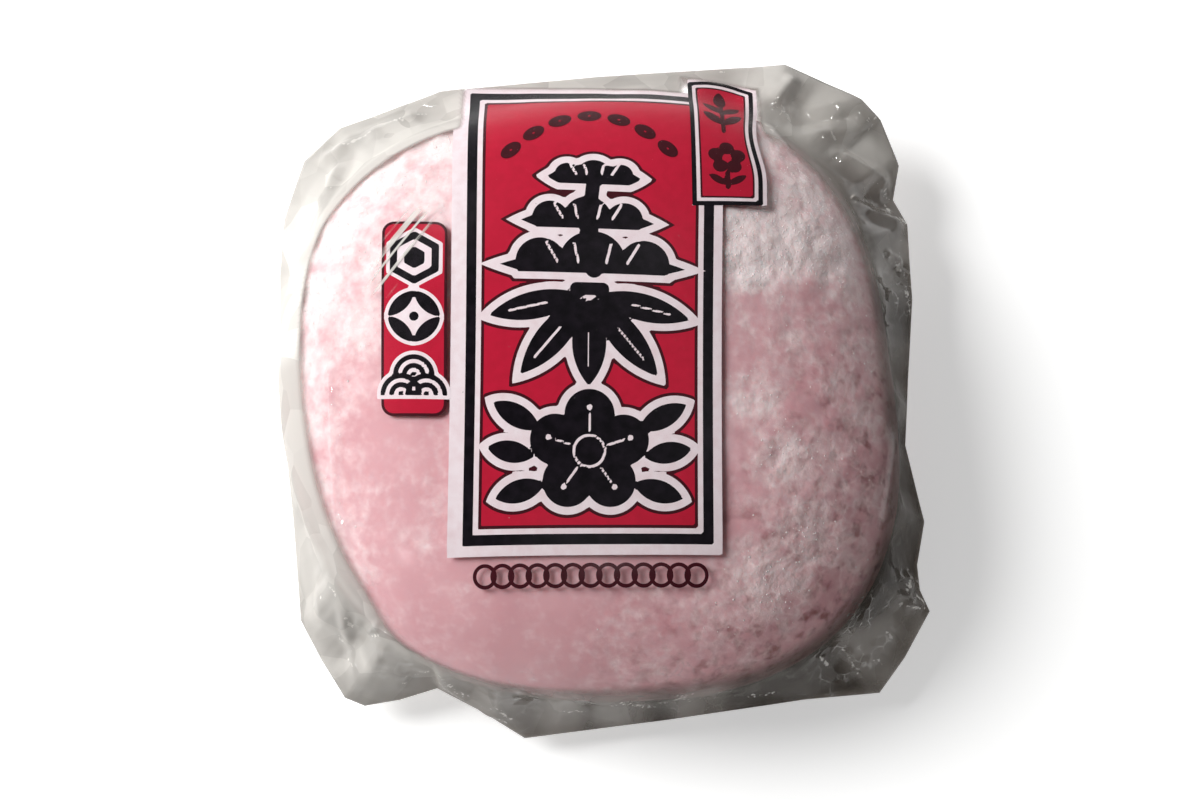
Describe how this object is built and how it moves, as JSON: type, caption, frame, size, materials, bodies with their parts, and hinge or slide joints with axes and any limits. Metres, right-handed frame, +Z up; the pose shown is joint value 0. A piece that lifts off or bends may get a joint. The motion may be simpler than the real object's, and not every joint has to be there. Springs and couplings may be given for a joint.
{
  "type": "red bean mochi",
  "caption": "Soft pink rice-dough sweet dusted with starch, sealed in a crumpled clear film wrapper with a printed label, lying flat.",
  "frame": {"origin": "middle of the wrapper's box on the surface that it rests on", "axes": "+Z up through the domed top, +Y towards the label's upper edge, +X to the label's right"},
  "size_m": [0.077, 0.08, 0.0304],
  "materials": {
    "wrapped_mochi": "gloss",
    "clear_film": "gloss",
    "rice_dough": "matte",
    "starch": "matte",
    "white_ink": "satin",
    "black_ink": "satin",
    "red_ink": "satin",
    "maroon_ink": "satin"
  },
  "bodies": {
    "root": {"wrapped_mochi": "wrapped_mochi"}
  },
  "joints": []
}
